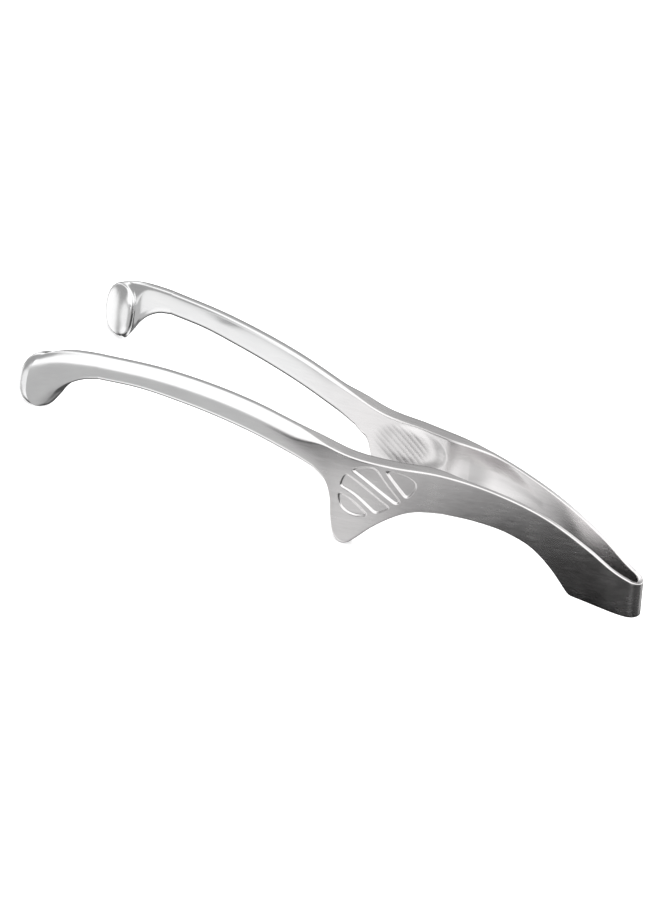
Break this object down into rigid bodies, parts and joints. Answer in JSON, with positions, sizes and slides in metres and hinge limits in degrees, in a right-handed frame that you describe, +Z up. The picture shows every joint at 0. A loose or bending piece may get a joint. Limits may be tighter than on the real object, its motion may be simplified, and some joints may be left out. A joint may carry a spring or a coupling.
{
  "type": "spring nutcracker",
  "caption": "Stainless steel nutcracker: a hairpin spring bow, two arched leaves, ribbed jaws with spurs below them, and slim curved handles with flared ends.",
  "frame": {"origin": "on the floor, under the middle of the nutcracker's box, as it stands on its two spurs and its two handle ends", "axes": "+X along the nutcracker from the bow to the handle ends, +Y across it from the right arm to the left, +Z up"},
  "size_m": [0.1893, 0.0654, 0.034],
  "materials": {
    "satin_steel": "satin, fine grain",
    "polished_steel": "polished"
  },
  "bodies": {
    "bow": {"spring_bow": "satin_steel"},
    "left_arm": {"leaf_left": "satin_steel", "spine_left": "satin_steel", "jaw_left": "satin_steel", "nut_grips_left": "satin_steel", "handle_left": "polished_steel", "flared_end_left": "polished_steel", "end_cap_left": "polished_steel"},
    "right_arm": {"leaf_right": "satin_steel", "spine_right": "satin_steel", "jaw_right": "satin_steel", "nut_grips_right": "satin_steel", "handle_right": "polished_steel", "flared_end_right": "polished_steel", "end_cap_right": "polished_steel"}
  },
  "joints": [
    {"name": "right_flex", "type": "hinge", "parent": "bow", "child": "right_arm", "pos_m": [-0.07585, -0.0054, 0.02188], "axis": [0.2823, 0, 0.9593], "range_deg": [-3, 8], "stiffness_Nm_per_rad": 20},
    {"name": "left_flex", "type": "hinge", "parent": "bow", "child": "left_arm", "pos_m": [-0.07585, 0.0054, 0.02188], "axis": [-0.2823, 0, -0.9593], "range_deg": [-3, 8], "stiffness_Nm_per_rad": 20}
  ],
  "couplings": [
    {"joint": "left_flex", "follows": "right_flex", "ratio": 1}
  ]
}
